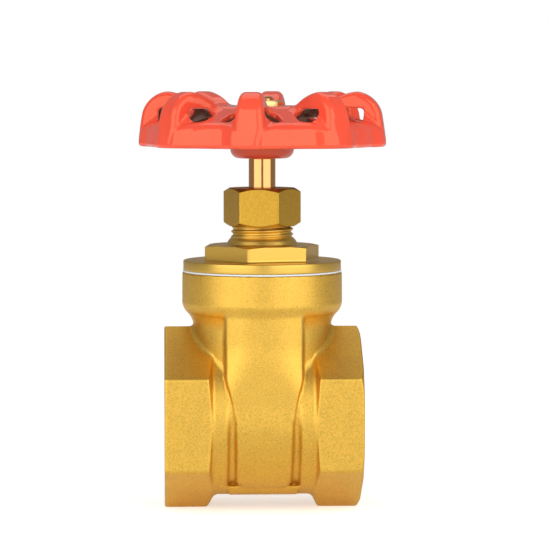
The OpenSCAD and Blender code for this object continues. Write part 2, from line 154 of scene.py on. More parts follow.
def add(tree, kind, settings=None, links=None):
    """Add one shader node with its socket values and properties, and link sockets into it."""
    node = tree.nodes.new(kind)
    for key, value in (settings or {}).items():
        if isinstance(key, int) or key in node.inputs:
            node.inputs[key].default_value = value
        else:
            setattr(node, key, value)
    for key, source in (links or {}).items():
        tree.links.new(source, node.inputs[key])
    return node


def new_material(name, roughness, metallic, base, extra=None):
    """A material with one Principled shader; returns its tree and that shader."""
    material = bpy.data.materials.new(name)
    material.use_nodes = True
    tree = material.node_tree
    tree.nodes.clear()
    shader = add(tree, "ShaderNodeBsdfPrincipled", {
        "Base Color": (*base, 1), "Roughness": roughness, "Metallic": metallic, **(extra or {})})
    output = add(tree, "ShaderNodeOutputMaterial")
    tree.links.new(shader.outputs["BSDF"], output.inputs["Surface"])
    return material, tree, shader


def ramp(tree, factor, stops):
    """A colour ramp between stops of (place, colour), fed by a factor socket."""
    node = add(tree, "ShaderNodeValToRGB", links={"Fac": factor})
    elements = node.color_ramp.elements
    while len(elements) < len(stops):
        elements.new(1)
    for element, (place, value) in zip(elements, stops):
        element.position = place
        element.color = (*value, 1)
    return node.outputs["Color"]


def shade(base, factor):
    """A colour made lighter or darker by a factor, kept within 0 to 1."""
    return tuple(min(1, channel * factor) for channel in base)


def per_mm(size_mm):
    """The Scale of a noise whose features are size_mm across, on Object coordinates in metres."""
    return 1 / (size_mm * MM)


def object_place(tree):
    """The Object coordinates, which stay with the piece when it moves."""
    return add(tree, "ShaderNodeTexCoord").outputs["Object"]


def noise(tree, place, size_mm, **settings):
    """The Fac of a noise whose features are size_mm across."""
    values = {"Scale": per_mm(size_mm), **settings}
    return add(tree, "ShaderNodeTexNoise", values, {"Vector": place}).outputs["Fac"]


def tint(tree, shader, factor, stops):
    """Feed the Base Color from a ramp of (place, colour)."""
    tree.links.new(ramp(tree, factor, stops), shader.inputs["Base Color"])


def vary_roughness(tree, shader, factor, smooth, rough):
    """Feed the Roughness, from smooth to rough as a noise goes from 0.3 to 0.7."""
    node = add(tree, "ShaderNodeMapRange", {
        "From Min": 0.3, "From Max": 0.7, "To Min": smooth, "To Max": rough}, {"Value": factor})
    tree.links.new(node.outputs["Result"], shader.inputs["Roughness"])


def bump(tree, shader, height, strength, depth_mm):
    """Feed the Normal from a height whose full range is depth_mm deep."""
    node = add(tree, "ShaderNodeBump", {"Strength": strength, "Distance": depth_mm * MM}, {"Height": height})
    tree.links.new(node.outputs["Normal"], shader.inputs["Normal"])


def forged_brass(c):
    """Forged brass, shot blasted: a matt golden skin of fine dimples, with faint cloudy patches."""
    material, tree, shader = new_material("forged_brass_shot_blasted", 0.44, 1, c.forged)
    place = object_place(tree)
    cloud = noise(tree, place, 5, Detail=4, Roughness=0.6)
    speck = noise(tree, place, 0.38, Detail=3, Roughness=0.6)
    mixed = add(tree, "ShaderNodeMath", {"operation": "MULTIPLY_ADD", 1: 0.2}, {0: cloud, 2: speck})
    tint(tree, shader, mixed.outputs[0], [
        (0.42, shade(c.forged, 0.8)), (0.6, c.forged), (0.78, shade(c.forged, 1.12))])
    vary_roughness(tree, shader, speck, 0.39, 0.5)
    dimple = add(tree, "ShaderNodeTexVoronoi", {
        "Scale": per_mm(0.42), "feature": "SMOOTH_F1", "Smoothness": 0.6}, {"Vector": place})
    grain = add(tree, "ShaderNodeMath", {"operation": "ADD"}, {0: dimple.outputs["Distance"], 1: speck})
    bump(tree, shader, grain.outputs[0], 0.34, 0.06)
    return material


def turned_brass(c):
    """Turned brass: satin, with the fine rings that a lathe leaves around the stem's axis."""
    material, tree, shader = new_material("turned_brass", 0.34, 1, c.turned)
    split = add(tree, "ShaderNodeSeparateXYZ", links={"Vector": object_place(tree)})
    flat = add(tree, "ShaderNodeCombineXYZ", links={"X": split.outputs["X"], "Y": split.outputs["Y"]})
    radius = add(tree, "ShaderNodeVectorMath", {"operation": "LENGTH"}, {0: flat.outputs["Vector"]})
    feed = add(tree, "ShaderNodeMath", {"operation": "ADD"}, {
        0: radius.outputs["Value"], 1: split.outputs["Z"]})
    line = add(tree, "ShaderNodeCombineXYZ", links={"X": feed.outputs[0]})
    rings = noise(tree, line.outputs["Vector"], 0.22, Detail=2)
    vary_roughness(tree, shader, rings, 0.28, 0.42)
    tint(tree, shader, rings, [(0.3, shade(c.turned, 0.93)), (0.7, shade(c.turned, 1.04))])
    bump(tree, shader, rings, 0.22, 0.02)
    return material


def drawn_brass(c):
    """Drawn hexagon bar, lightly tumbled: satin flats with a fine even grain."""
    material, tree, shader = new_material("drawn_brass_tumbled", 0.34, 1, c.nut)
    place = object_place(tree)
    along = add(tree, "ShaderNodeMapping", {"Scale": (1, 1, 0.8)}, {"Vector": place})
    lines = noise(tree, along.outputs["Vector"], 0.5, Detail=3)
    grain = noise(tree, place, 0.35, Detail=2)
    both = add(tree, "ShaderNodeMath", {"operation": "ADD"}, {0: lines, 1: grain})
    tint(tree, shader, lines, [(0.3, shade(c.nut, 0.86)), (0.7, shade(c.nut, 1.05))])
    vary_roughness(tree, shader, grain, 0.34, 0.48)
    bump(tree, shader, both.outputs[0], 0.3, 0.035)
    return material


def polished_brass(c):
    """Polished brass bar: a near mirror with hair-fine rings, so the room shows in it as upright bands."""
    material, tree, shader = new_material("polished_brass", 0.1, 1, c.polished)
    across = add(tree, "ShaderNodeMapping", {"Scale": (0.05, 0.05, 1)}, {"Vector": object_place(tree)})
    rings = noise(tree, across.outputs["Vector"], 0.18, Detail=2)
    vary_roughness(tree, shader, rings, 0.07, 0.15)
    bump(tree, shader, rings, 0.08, 0.01)
    return material


def stove_enamel(c):
    """Glossy stove enamel on a casting: a wet-looking orange-red coat with a faint orange-peel ripple.

    The hollow underside and the window walls carry a painted shade: a dark colour in place of the shade there,
    made rougher too."""
    material, tree, shader = new_material(
        "stove_enamel_gloss", 0.07, 0, c.enamel, {"IOR": 1.62, "Specular Tint": (1, 0.74, 0.42, 1)})
    place = object_place(tree)
    tone = ramp(tree, noise(tree, place, 9, Detail=2), [
        (0.3, shade(c.enamel, 0.94)), (0.7, shade(c.enamel, 1.05))])
    # Painted shade: the inside attribute mixes the enamel tone towards a dark colour in the hollow and the
    # windows
    inside = add(tree, "ShaderNodeAttribute", {"attribute_name": "inside"}).outputs["Fac"]
    coat = add(tree, "ShaderNodeMix", {"data_type": "RGBA", MIX_B: (*c.inside, 1)}, {
        "Factor": inside, MIX_A: tone})
    tree.links.new(coat.outputs[MIX_RESULT], shader.inputs["Base Color"])
    rough = add(tree, "ShaderNodeMapRange", {"To Min": 0.07, "To Max": 0.6}, {"Value": inside})
    tree.links.new(rough.outputs["Result"], shader.inputs["Roughness"])
    bump(tree, shader, noise(tree, place, 1.6, Detail=2, Roughness=0.5), 0.12, 0.08)
    return material


def plain_finish(name, base, roughness, metallic, grain_mm, depth_mm, extra=None):
    """A plain finish with a fine grain: a slow change of tone and a bump of grain_mm by depth_mm."""
    material, tree, shader = new_material(name, roughness, metallic, base, extra)
    grain = noise(tree, object_place(tree), grain_mm, Detail=3)
    tint(tree, shader, grain, [(0.3, shade(base, 0.93)), (0.7, shade(base, 1.04))])
    bump(tree, shader, grain, 0.25, depth_mm)
    return material


def gasket_sheet(c):
    """Pressed sealing sheet: pale, matt and slightly fibrous."""
    return plain_finish("pressed_sealing_sheet", c.gasket, 0.6, 0, 0.5, 0.02)


def moulded_ptfe(c):
    """Moulded fluoropolymer: white, waxy and soft edged, with a little light passing through it."""
    return plain_finish("moulded_ptfe", c.packing, 0.42, 0, 0.8, 0.01, {"Subsurface Weight": 0.1})


def zinc_steel(c):
    """Bright zinc plate on steel: cool, slightly mottled and half mirror."""
    return plain_finish("bright_zinc_steel", c.zinc, 0.28, 1, 0.6, 0.01)


def passivated_steel(c):
    """Yellow passivated zinc on steel: a warm pale gold, half mirror."""
    return plain_finish("yellow_zinc_steel", c.passivated, 0.2, 1, 0.7, 0.01)


def dress(piece, maker):
    """Give a piece one material, made once and shared by every piece with that finish."""
    colours = bpy.context.scene.valve_colours
    key = maker.__name__
    made = dress.made.get(key)
    if made is None:
        made = dress.made[key] = maker(colours)
    piece.data.materials.clear()
    piece.data.materials.append(made)


dress.made = {}


# ---------------------------------------------------------------------------------------------
# Surfaces
# ---------------------------------------------------------------------------------------------

def put_mesh(name, points_mm, faces, normals=None):
    """Make a piece of faces and of points in millimetres from where the flow axis meets the stem's axis."""
    points = np.asarray(points_mm, float) * MM
    points[:, 2] += AXIS * MM
    mesh = bpy.data.meshes.new(name)
    mesh.from_pydata(points, [], faces)
    mesh.validate(clean_customdata=False)
    mesh.shade_smooth()
    if normals is not None and len(mesh.vertices) == len(points):
        mesh.normals_split_custom_set_from_vertices(normals)
    piece = bpy.data.objects.new(name, mesh)
    bpy.context.scene.collection.objects.link(piece)
    return piece


def round_max(a, b, r):
    """The larger of two fields, with the outside edge where they meet rounded to radius r."""
    return np.minimum(np.maximum(a, b), -r) + np.hypot(np.maximum(a + r, 0), np.maximum(b + r, 0))


def round_min(a, b, r):
    """The smaller of two fields, with the inside corner where they meet filled to radius r."""
    return -round_max(-a, -b, r)


def ease(t):
    """A smooth step from 0 to 1 as t goes from 0 to 1."""
    t = np.clip(t, 0, 1)
    return t * t * (3 - 2 * t)


def polygon_reach(across, sides, angle, crisp=120):
    """Radius of a regular polygon, across its flats, at an angle from a flat's middle.

    It is half the width over the high-power mean of the cosines to every flat, which rounds each corner."""
    turns = angle[..., None] - np.arange(sides) * 2 * math.pi / sides
    return across / 2 / (np.maximum(np.cos(turns), 0) ** crisp).sum(-1) ** (1 / crisp)


def gradient(field, points, h=0.02):
    """Slope of a field at points, by central differences over 2h along each axis."""
    out = np.empty_like(points)
    for axis in range(3):
        step = np.zeros(3)
        step[axis] = h
        ahead, behind = points + step, points - step
        out[:, axis] = (field(*ahead.T) - field(*behind.T)) / (2 * h)
    return out


def skin(field, low_corner, high_corner, cell):
    """The surface where a field of (x, y, z) is zero, as quads.

    The field is sampled on a grid. Each cell that the surface crosses gets one vertex, at the mean of the
    crossings on its twelve edges, and each grid edge that crosses the surface gets the quad of the four cells
    around it. Then each vertex slides down the field's slope until the field there is zero."""
    axes = [np.arange(a, b + c, c) for a, b, c in zip(low_corner, high_corner, cell)]
    value = field(*np.meshgrid(*axes, indexing="ij"))
    inside = value < 0
    shape = np.array(value.shape) - 1
    total = np.zeros(shape, np.int8)
    offset = np.zeros((*shape, 3))
    count = np.zeros(shape, np.int8)
    corners = [(i, j, k) for i in (0, 1) for j in (0, 1) for k in (0, 1)]
    view = lambda grid, at: grid[tuple(slice(a, a + n) for a, n in zip(at, shape))]
    for at in corners:
        total += view(inside, at)
    crossed = (total > 0) & (total < 8)
    for axis in range(3):
        for at in corners:
            if at[axis]:
                continue
            end = tuple(a + (i == axis) for i, a in enumerate(at))
            v0, v1 = view(value, at), view(value, end)
            cut = (v0 < 0) != (v1 < 0)
            place = np.zeros_like(v0)
            place[cut] = v0[cut] / (v0[cut] - v1[cut])
            count += cut
            for i in range(3):
                offset[..., i] += cut * (place if i == axis else at[i])
    number = np.full(shape, -1)
    number[crossed] = np.arange(crossed.sum())
    points = (np.argwhere(crossed) + offset[crossed] / count[crossed][:, None]) * cell
    points += np.array([a[0] for a in axes])
    faces = []
    for axis in range(3):
        one, two = [i for i in range(3) if i != axis]
        lead = np.moveaxis(inside, axis, 0)
        cut = lead[:-1] != lead[1:]
        cut = np.moveaxis(cut, 0, axis)
        inner = [slice(1, -1)] * 3
        inner[axis] = slice(None)
        where = np.argwhere(cut[tuple(inner)])
        for i in (one, two):
            where[:, i] += 1
        solid_first = inside[tuple(where.T)]
        ring = []
        for d1, d2 in ((1, 1), (0, 1), (0, 0), (1, 0)):
            at = where.copy()
            at[:, one] -= d1
            at[:, two] -= d2
            ring.append(number[tuple(at.T)])
        quad = np.stack(ring, 1)
        turn = solid_first == (axis == 1)
        quad[turn] = quad[turn][:, ::-1]
        faces.append(quad)
    slides, limit = 5, 0.6 * min(cell)
    for _ in range(slides):
        slope = gradient(field, points)
        move = field(*points.T) / np.maximum((slope ** 2).sum(1), 0.05)
        points -= np.clip(move, -limit, limit)[:, None] * slope
    slope = gradient(field, points)
    normals = slope / np.linalg.norm(slope, axis=1)[:, None]
    return points, np.concatenate(faces), normals


def outline(corners, spacing=0.35, fine=None):
    """A section outline as radius and height arrays: straight stretches cut to the spacing, corners as arcs.

    Each corner is (radius, height, rounding). The arc touches both stretches at rounding / tan(half the angle).
    fine = (low, high, spacing) cuts the stretches between two heights to a spacing of their own."""
    corners = np.asarray(corners, float)
    arc_points = 6
    rows = []
    last = len(corners) - 1
    for i, size in enumerate(corners[:, 2]):
        here = corners[i, :2]
        if size == 0 or i in (0, last):
            rows.append(here[None])
            continue
        back, ahead = corners[i - 1, :2] - here, corners[i + 1, :2] - here
        back, ahead = back / np.linalg.norm(back), ahead / np.linalg.norm(ahead)
        half = math.acos(np.clip(back @ ahead, -1, 1)) / 2
        reach = size / math.tan(half)
        bisector = (back + ahead) / np.linalg.norm(back + ahead)
        centre = here + bisector * size / math.sin(half)
        start, end = here + back * reach - centre, here + ahead * reach - centre
        a0, a1 = math.atan2(start[1], start[0]), math.atan2(end[1], end[0])
        sweep = (a1 - a0 + math.pi) % (2 * math.pi) - math.pi
        t = a0 + sweep * np.linspace(0, 1, arc_points)
        rows.append(centre + size * np.stack([np.cos(t), np.sin(t)], 1))
    points = np.concatenate(rows)
    low_h, high_h, close = fine or (math.inf, -math.inf, spacing)
    out = [points[:1]]
    for a, b in zip(points[:-1], points[1:]):
        within = max(a[1], b[1]) > low_h and min(a[1], b[1]) < high_h
        steps = max(1, math.ceil(np.linalg.norm(b - a) / (close if within else spacing)))
        out.append(a + (b - a) * (np.arange(1, steps + 1) / steps)[:, None])
    return np.concatenate(out)


def turned(corners, around=144, spacing=0.35, fine=None, sides=None, thread=None):
    """A piece turned about the stem's axis: its section outline carried round in a full circle.

    The surface is (r cos a, r sin a, z) over the outline's points and the angle a. sides = (number, across
    flats, turn, low, high) limits r to a polygon between two heights. thread = (pitch, depth, low, high, hand,
    least) lowers an r over the least by a rounded groove that climbs one pitch a turn. An outline that ends on
    the axis gets a single pole point."""
    rz = outline(corners, spacing, fine)
    angle = np.arange(around) * 2 * math.pi / around
    if sides:
        number, across, turn, z0, z1 = sides
        t = np.linspace(-1, 1, around // number, endpoint=False)
        # Points crowd towards the corners, where the radius changes fastest
        crowding = 1.5
        sector = np.sign(t) * (1 - (1 - np.abs(t)) ** crowding) * math.pi / number
        angle = (np.arange(number)[:, None] * 2 * math.pi / number + sector).ravel() + math.radians(turn)
    r = np.repeat(rz[:, :1], around, 1)
    z = np.repeat(rz[:, 1:], around, 1)
    if sides:
        reach = polygon_reach(across, number, angle - math.radians(turn))
        soft = 0.12
        blend = np.clip(0.5 + 0.5 * (r - reach) / soft, 0, 1)
        limited = r + (reach - r) * blend - soft * blend * (1 - blend)
        r = np.where((z > z0) & (z < z1) & (r > 0.6 * across / 2), limited, r)
    if thread:
        pitch, depth, z0, z1, hand, least = thread
        phase = z / pitch - hand * angle / (2 * math.pi)
        groove = 0.5 - 0.5 * np.cos(2 * math.pi * phase)
        groove = np.clip(1.35 * groove - 0.15, 0, 1)
        fade = ease((z - z0) / (0.6 * pitch)) * ease((z1 - z) / (0.6 * pitch))
        r = r - depth * groove * fade * (r > least)
    points = np.stack([r * np.cos(angle), r * np.sin(angle), z], -1)
    closed = np.allclose(rz[0], rz[-1])
    if closed:
        points = points[:-1]
    rows = len(points)
    index = np.arange(rows * around).reshape(rows, around)
    poles = [row for row in (0, rows - 1) if not closed and rz[row, 0] < 1e-9]
    for row in poles:
        index[row] = index[row, 0]
    ahead = np.roll(index, -1, 1)
    upper = np.roll(index, -1, 0) if closed else index[1:]
    upper_ahead = np.roll(ahead, -1, 0) if closed else ahead[1:]
    here, here_ahead = (index, ahead) if closed else (index[:-1], ahead[:-1])
    quads = np.stack([here, here_ahead, upper_ahead, upper], -1).reshape(-1, 4)
    return points.reshape(-1, 3), clean_faces(quads)


def clean_faces(quads):
    """Quads as lists, with a corner that is used twice in a row taken out, so a pole closes in triangles."""
    same = [quads[:, i] == quads[:, (i + 1) % 4] for i in range(4)]
    whole = quads[~np.any(same, 0)].tolist()
    for i in range(4):
        keep = [j for j in range(4) if j != i]
        whole += quads[same[i] & ~np.any([same[j] for j in keep], 0)][:, keep].tolist()
    return whole


def turned_piece(name, corners, **options):
    """A turned surface as a Blender piece, without the points that its poles left unused."""
    return put_mesh(name, *drop_unused(*turned(corners, **options)))


def drop_unused(points, faces):
    """Take out the points that no face uses, and number the faces again."""
    flat = np.fromiter((i for face in faces for i in face), int)
    used, numbers = np.unique(flat, return_inverse=True)
    ends = np.cumsum([len(face) for face in faces])[:-1]
    return points[used], [part.tolist() for part in np.split(numbers, ends)]


def thread_ridge(name, side, s):
    """The ridge of a pipe thread: a rounded crest carried along a helix inside a socket.

    The path is (x, r cos a, r sin a) with x growing one pitch a turn. The crest is a raised cosine across the
    ridge, and it fades into the wall at each end of the helix."""
    pitch, depth = s.thread_pitch / MM, s.thread_depth / MM
    wall = PIPE_R + 0.05
    root = wall + 0.25
    start, end = HALF_L - MOUTH - 0.1 * pitch, HALF_L - SOCKET_L + 0.2 + 0.5 * pitch
    half_share = 0.47
    run_in, run_out = 0.35, 0.5
    steps_a_turn, points_across = 96, 11
    turns = (start - end) / pitch
    steps = int(turns * steps_a_turn)
    t = np.linspace(0, 1, steps)
    along = np.linspace(-1, 1, points_across)
    crest = np.clip(1.25 * (0.5 + 0.5 * np.cos(math.pi * along)) - 0.02, 0, 1)
    height = depth * ease(t * turns / run_in) * ease((1 - t) * turns / run_out)
    angle = t[:, None] * turns * 2 * math.pi
    r = wall - crest * height[:, None]
    r = np.concatenate([r, np.full((steps, 1), root)], 1)
    x = (start + (end - start) * t)[:, None] + np.append(along * pitch * half_share, 0)
    points = np.stack([side * x, r * np.cos(angle) * side, r * np.sin(angle)], -1)
    count = points.shape[1]
    index = np.arange(steps * count).reshape(steps, count)
    ahead = np.roll(index, -1, 1)
    quads = np.stack([index[:-1], ahead[:-1], ahead[1:], index[1:]], -1).reshape(-1, 4)
    faces = quads.tolist() + [index[0][::-1].tolist(), index[-1].tolist()]
    return put_mesh(name, points.reshape(-1, 3), faces)


# ---------------------------------------------------------------------------------------------
# Fields of the two castings
# ---------------------------------------------------------------------------------------------

def body_field(s):
    """The valve body as a field: below zero inside the brass, above zero outside it.

    It is the larger of the outside and the hollow's opposite. The outside is the smallest of the ends, the
    barrel, the boss, the neck with its flange and the guide band, with filled inside corners, less the two
    channels beside the band. The hollow is the smallest of the sockets, the port, the chamber and the bores."""
    af, barrel_r, barrel_half = s.hexagon_af / MM, s.barrel_r / MM, s.barrel_half / MM
    neck_r, flange_r, port_r = s.neck_r / MM, s.flange_r / MM, s.port_r / MM
    edge, fillet = s.edge_r / MM, s.fillet_r / MM
    corner_r = AXIS

    def ends(x, y, z, flow):
        """Hexagons with a leaning shoulder towards the barrel, and a chamfer on the outlet's corners."""
        crisp = 120
        a, b, c = np.abs(y), np.abs(0.5 * y + 0.866025 * z), np.abs(0.5 * y - 0.866025 * z)
        hexagon = ((a / af) ** crisp + (b / af) ** crisp + (c / af) ** crisp) ** (1 / crisp) * af - af / 2
        shoulder_l, flat_l, flat_share, front_y, front_blend = 1.75, 0.7, 0.6, 5, 13
        front = ease((np.abs(y) - front_y) / front_blend)
        lean = shoulder_l * (1 - flat_share * front) / (corner_r - barrel_r)
        foot = barrel_half + flat_l * front
        shoulder = (foot + lean * (flow - barrel_r) - np.abs(x)) / np.hypot(1, lean)
        chamfer_l, chamfer_reach, chamfer_edge = 0.8, 1.7, 0.3
        slope = chamfer_l / chamfer_reach
        chamfer = (x - HALF_L + slope * (flow - corner_r + chamfer_reach)) / math.hypot(1, slope)
        block = round_max(hexagon, shoulder, edge)
        block = round_max(block, chamfer, chamfer_edge)
        return round_max(block, np.abs(x) - HALF_L, edge)

    def column(z, turn):
        """The round neck, the cone above it and the flange."""
        cone_slope, cone_low, rim_draft, rim_mid = 1.06, 25.3, 0.008, 30
        cone = (turn - neck_r - cone_slope * (z - cone_low)) / math.hypot(1, cone_slope)
        rim = turn - flange_r + rim_draft * (z - rim_mid)
        flange = round_max(cone, rim, 1.2)
        stack = round_min(np.maximum(turn - neck_r, -z), flange, 1.6)
        return round_max(stack, z - FLANGE_TOP, 0.3)

    def boss(y, z, across):
        """The foot under the band: a block with its two lower edges cut back by a slanted face."""
        corner_y, corner_z, face_y, face_z = 8.1, 19.15, 0.695, 0.719
        lift, half, top = 0.5, 8.9, -16
        slant = (np.abs(y) - corner_y) * face_y + (-z - corner_z) * face_z
        block = round_max(round_max(slant, -z - barrel_r + lift, 1.5), across - half, 0.6)
        return np.maximum(block, z - top)

    def band_side(z, flow, across):
        """Sides of the guide band: full width at the neck, narrower below the flow axis, and drafted."""
        draft, heights, half_widths = 0.35, [-15, 0, 12], [6.8, 7.05, 9.8]
        width = np.interp(z, heights, half_widths)
        return across - width + draft * np.minimum(flow - barrel_r, 0)

    def band_front(y, z, turn):
        """Front of the guide band: flat above the flow axis, round below it, drawn in under the flange."""
        front, neck_front, spread, spread_top, spread_l = 19.8, 19.75, 2.2, 20, 14
        face = np.hypot(y, np.minimum(z, 0)) - front
        return round_max(face, turn - neck_front - spread * ease((spread_top - z) / spread_l), 1)

    def channel(z, flow, across, foot):
        """The shallow channel on each side of the band, which runs out on the barrel above."""
        depth, wall_x, wall_draft, low_z, high_z, run_out, run_out_l = 1.35, 8.7, 0.5, -16.4, 9, 8.5, 13
        floor_r = barrel_r - depth * ease((run_out - z) / run_out_l)
        wall = across - wall_x - wall_draft * (flow - floor_r)
        groove = round_max(-foot, wall, 0.6)
        groove = round_max(groove, floor_r - flow, 0.7)
        return round_max(groove, np.maximum(low_z - z, z - high_z), 0.6)

    def outside(x, y, z):
        """All that is brass if the body had no hollow."""
        flow, turn, across = np.hypot(y, z), np.hypot(x, y), np.abs(x)
        under_shoulder, band_low, band_high = 2, -16.9, 30.5
        barrel = np.maximum(flow - barrel_r, across - barrel_half - under_shoulder)
        solid = round_min(ends(x, y, z, flow), barrel, 0.9)
        solid = np.minimum(solid, boss(y, z, across))
        solid = round_min(solid, column(z, turn), fillet)
        foot = round_max(band_side(z, flow, across), band_low - z, 2.4)
        band = round_max(foot, band_front(y, z, turn), 0.7)
        solid = round_min(solid, np.maximum(band, z - band_high), 0.7)
        return round_max(solid, -channel(z, flow, across, foot), 0.7)

    def hollow(x, y, z):
        """The sockets with their mouths, the port, the wedge's chamber and the bonnet's two bores."""
        flow, turn, across = np.hypot(y, z), np.hypot(x, y), np.abs(x)
        mouth_l, seat_w, seat_x, seat_taper = 2, 1.3, 5.7, 0.0699
        chamber_x, chamber_y, chamber_top = 6.9, 15.2, 19.6
        bore_r, thread_r, thread_l = 15.6, 17.3, 7
        socket = np.maximum(flow - PIPE_R, HALF_L - SOCKET_L - across)
        mouth = (flow - PIPE_R - (across - HALF_L + MOUTH)) / math.sqrt(2)
        mouth = np.maximum(mouth, HALF_L - mouth_l - across)
        seat = np.maximum(flow - port_r - seat_w, seat_x + seat_taper * z - across)
        chamber = np.maximum(across - chamber_x, np.hypot(y, np.minimum(z, 0)) - chamber_y)
        chamber = round_max(np.maximum(chamber, z - chamber_top), -seat, 0.15)
        bore = np.maximum(turn - bore_r, PIPE_R + 2 - z)
        screwed = np.maximum(turn - thread_r, FLANGE_TOP - thread_l - z)
        return np.minimum.reduce([np.minimum(socket, mouth), flow - port_r, chamber, bore, screwed])

    return lambda x, y, z: round_max(outside(x, y, z), -hollow(x, y, z), 0.28)


def wheel_field(s):
    """The handwheel as a field, and the share of painted shade on its underside at each point.

    The handwheel is a hollow shell of lobes and rim, open below: the smaller of the lobe and the web between
    lobes, each the larger of its faces, less the same shell drawn in by the wall. Windows are cut beside the
    spokes, and a plate and a hub are joined on with filled inside corners."""
    pitch = 2 * math.pi / s.lobes
    first = math.radians(-98)
    rim_low = WHEEL_LOW + 3
    plate_h = rim_low + 10.15
    plate_r, plate_lip = 15.2, 0.6
    wall = 2.2

    def lobe(u, v, z):
        """One lobe: outer face, roof and inner slope, between two flanks that narrow below the rim's edge."""
        draft, upright, inner_slope = 0.15, 1.8, 1.12
        top_half, flank_draft, pinch, pinch_top, pinch_l = 2.9, 0.1, 1.3, 8, 5
        outer = (u - WHEEL_R + draft * np.maximum(z - rim_low - upright, 0)) / 1.01
        inner = (-(u - plate_r - plate_lip) + inner_slope * (z - plate_h)) / math.hypot(1, inner_slope)
        section = round_max(round_max(outer, z - WHEEL_TOP, 6), inner, 3.2)
        half = top_half + flank_draft * (WHEEL_TOP - z) - pinch * ease((WHEEL_TOP - pinch_top - z) / pinch_l)
        return round_max(section, np.abs(v) - half, 1.6)

    def shell(u, v, rho, z):
        """Outside of the lobes and the rim, open below."""
        valley, draft, web_slope, swell_half, swell_blend = 1.8, 0.13, 0.315, 7.8, 4.8
        fillet_out, fillet_in, fillet_blend = 0.3, 2.1, 3.5
        swell = ease((swell_half - np.abs(v)) / swell_blend)
        skirt = (rho - WHEEL_R + valley * (1 - swell) + draft * (z - rim_low)) / 1.1
        slope = (z - plate_h + (rho - plate_r) * web_slope) / math.hypot(1, web_slope)
        web = round_max(round_max(skirt, slope, 1.6), z - plate_h, 0.8)
        return round_min(lobe(u, v, z), web, fillet_out + fillet_in * ease(-skirt / fillet_blend))

    def around(x, y, z):
        """Distance from the stem's axis, angle from the nearest lobe, and the shell."""
        rho = np.hypot(x, y)
        turn = (np.arctan2(y, x) - first + pitch / 2) % pitch - pitch / 2
        return rho, turn, shell(rho * np.cos(turn), rho * np.sin(turn), rho, z)

    def field(x, y, z):
        """The whole handwheel."""
        spoke_half, window_in, window_out = 2.2, 19.6, 26.3
        hub_r, hollow_in, pocket_r, square_half, plate_t = 8.05, 8.4, 7.3, 2.85, 2.6
        rho, turn, body = around(x, y, z)
        hollow = np.maximum(body + wall, hollow_in - rho)
        spoke = rho * np.sin(pitch / 2 - np.abs(turn)) - spoke_half
        window = round_max(np.maximum(window_in - rho, rho - window_out), -spoke, 1.8)
        window = round_max(window, z - plate_h + 0.4, 1)
        solid = round_max(body, rim_low - z, 1.1)
        solid = round_max(solid, -hollow, 0.5)
        solid = round_max(solid, -window, 0.5)
        hub = np.maximum(round_max(rho - hub_r, WHEEL_LOW - z, 2.2), z - plate_h + 0.6)
        plate = np.maximum(round_max(rho - plate_r - plate_lip, z - plate_h, 0.5), plate_h - plate_t - z)
        solid = round_min(solid, hub, 1.2)
        solid = round_min(solid, plate, 0.8)
        pocket = np.maximum(rho - pocket_r, SEAT_H - z)
        square = np.maximum(np.maximum(np.abs(x), np.abs(y)) - square_half, z - WHEEL_TOP)
        solid = round_max(solid, -pocket, 0.6)
        return round_max(solid, -square, 0.1)

    def underside(x, y, z):
        """Share of painted shade: 1 on the inside of the shell and in the windows, less on the hub, and 0 on
        the outside.
        """
        skin_depth, blend, hub_share, hub_out, hub_blend = 1.5, 0.8, 0.3, 8.6, 1.5
        rho, _, body = around(x, y, z)
        share = hub_share + 0.7 * ease((rho - hub_out) / hub_blend)
        return ease((skin_depth - body - wall) / blend) * share

    return field, underside


# ---------------------------------------------------------------------------------------------
# Operators, one for each piece or group of like pieces
# ---------------------------------------------------------------------------------------------

def settle(piece, body, slot, maker, *nodes):
    """Ride a piece on its body, hide the CAD nodes that it stands for, and give it its finish."""
    dress(piece, maker)
    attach(piece, body)
    if nodes:
        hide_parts(*nodes)


class VALVE_OT_body(bpy.types.Operator):
    """Skin the forged body and lay its two pipe threads"""
    bl_idname = "valve.body"
    bl_label = "Body"

    def execute(self, context):
        s = context.scene.valve_sizes
        cell, side, under = s.cell / MM, 22, 24.5
        box = ((-HALF_L - 1, -side, -under), (HALF_L + 1, side, FLANGE_TOP + 1))
        points, faces, normals = skin(body_field(s), *box, np.array([1.08, 1, 1]) * cell)
        casting = put_mesh("body_casting", points, faces.tolist(), normals)
        settle(casting, "valve", "forged_brass", forged_brass, "valve_body")
        settle(thread_ridge("inlet_thread_crest", -1, s), "valve", "turned_brass", turned_brass)
        settle(thread_ridge("outlet_thread_crest", 1, s), "valve", "turned_brass", turned_brass)
        return {"FINISHED"}


